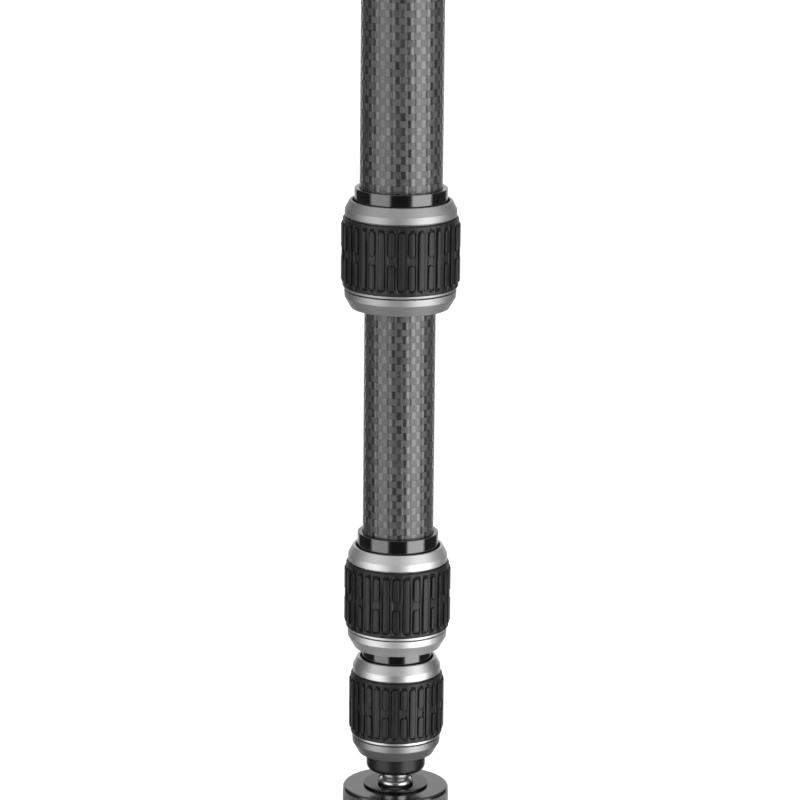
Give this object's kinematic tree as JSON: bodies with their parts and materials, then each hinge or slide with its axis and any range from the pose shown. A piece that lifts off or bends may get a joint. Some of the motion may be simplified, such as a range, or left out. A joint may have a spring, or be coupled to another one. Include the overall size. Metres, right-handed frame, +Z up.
{
  "type": "camera monopod",
  "caption": "Telescoping carbon monopod with twist locks and a foam grip, on a ball joint with fold-out legs.",
  "frame": {"origin": "the point of the floor under the pole, in the plane of the three feet", "axes": "+Z up along the pole to the camera screw; the rear leg points along +Y"},
  "size_m": [0.3196, 0.2768, 0.6426],
  "materials": {
    "carbon_fibre": "woven carbon fibre under clear lacquer",
    "silver_anodised": "fine satin, silver anodised",
    "black_anodised": "smooth, black anodised",
    "rubber": "moulded, matt",
    "foam": "closed-cell foam",
    "nylon": "moulded, plain",
    "chrome": "polished",
    "spring_steel": "plain steel",
    "black_steel": "blackened",
    "brass": "turned"
  },
  "bodies": {
    "base": {"base_hub": "black_anodised", "socket_housing": "silver_anodised", "lower_ball_seat": "nylon", "upper_ball_seat": "nylon", "seat_springs": "spring_steel", "leg_pins": "spring_steel", "leg_detents": "brass", "hub_screw": "spring_steel", "hub_bottom_pad": "rubber"},
    "ball_lock_collar": {"ball_lock_ring": "black_anodised"},
    "rear_leg": {"leg_a": "black_anodised", "foot_a": "rubber", "foot_screw_a": "spring_steel"},
    "left_leg": {"leg_b": "black_anodised", "foot_b": "rubber", "foot_screw_b": "spring_steel"},
    "right_leg": {"leg_c": "black_anodised", "foot_c": "rubber", "foot_screw_c": "spring_steel"},
    "swivel": {"slotted_washer": "black_steel"},
    "section_4": {"ball_stud": "chrome", "foot_cap": "black_anodised", "tube_4": "carbon_fibre", "tube_4_shims": "nylon"},
    "section_3": {"tube_3": "carbon_fibre", "lock_3_collar": "black_anodised", "lock_3_collet": "nylon", "tube_3_shims": "nylon"},
    "section_2": {"tube_2": "carbon_fibre", "lock_2_collar": "black_anodised", "lock_2_collet": "nylon", "tube_2_shims": "nylon"},
    "section_1": {"tube_1": "carbon_fibre", "lock_1_collar": "black_anodised", "lock_1_collet": "nylon", "foam_grip": "foam", "grip_trim_ring": "silver_anodised", "head_casting": "black_anodised", "platform_pad": "rubber", "camera_screw": "spring_steel", "head_set_screws": "spring_steel", "strap_lug": "spring_steel"},
    "twist_lock_3": {"lock_3_twist_sleeve": "silver_anodised", "lock_3_grip": "rubber", "lock_3_end_ring": "silver_anodised", "lock_3_dust_seal": "rubber"},
    "twist_lock_2": {"lock_2_twist_sleeve": "silver_anodised", "lock_2_grip": "rubber", "lock_2_end_ring": "silver_anodised", "lock_2_dust_seal": "rubber"},
    "twist_lock_1": {"lock_1_twist_sleeve": "silver_anodised", "lock_1_grip": "rubber", "lock_1_end_ring": "silver_anodised", "lock_1_dust_seal": "rubber"}
  },
  "joints": [
    {"name": "ball_lock_twist", "type": "hinge", "parent": "base", "child": "ball_lock_collar", "pos_m": [0, 0, 0.046], "axis": [0, 0, 1], "range_deg": [0, 90]},
    {"name": "rear_leg_fold", "type": "hinge", "parent": "base", "child": "rear_leg", "pos_m": [0, 0.015, 0.022], "axis": [-1, 0, 0], "range_deg": [0, 84]},
    {"name": "left_leg_fold", "type": "hinge", "parent": "base", "child": "left_leg", "pos_m": [-0.01299, -0.0075, 0.022], "axis": [0.5, -0.866, 0], "range_deg": [0, 84]},
    {"name": "right_leg_fold", "type": "hinge", "parent": "base", "child": "right_leg", "pos_m": [0.01299, -0.0075, 0.022], "axis": [0.5, 0.866, 0], "range_deg": [0, 84]},
    {"name": "pole_swivel", "type": "hinge", "parent": "base", "child": "swivel", "pos_m": [0, 0, 0.047], "axis": [0, 0, 1], "continuous": true},
    {"name": "pole_tilt", "type": "hinge", "parent": "swivel", "child": "section_4", "pos_m": [0, 0, 0.047], "axis": [1, 0, 0], "range_deg": [-18, 18]},
    {"name": "section_3_slide", "type": "slide", "parent": "section_4", "child": "section_3", "axis": [0, 0, 1], "range_m": [0, 0.3]},
    {"name": "section_2_slide", "type": "slide", "parent": "section_3", "child": "section_2", "axis": [0, 0, 1], "range_m": [0, 0.3]},
    {"name": "section_1_slide", "type": "slide", "parent": "section_2", "child": "section_1", "axis": [0, 0, 1], "range_m": [-0.0727, 0.2273]},
    {"name": "lock_3_twist", "type": "hinge", "parent": "section_3", "child": "twist_lock_3", "pos_m": [0, 0, 0.0694], "axis": [0, 0, 1], "range_deg": [0, 90]},
    {"name": "lock_2_twist", "type": "hinge", "parent": "section_2", "child": "twist_lock_2", "pos_m": [0, 0, 0.105], "axis": [0, 0, 1], "range_deg": [0, 90]},
    {"name": "lock_1_twist", "type": "hinge", "parent": "section_1", "child": "twist_lock_1", "pos_m": [0, 0, 0.2159], "axis": [0, 0, 1], "range_deg": [0, 90]}
  ]
}
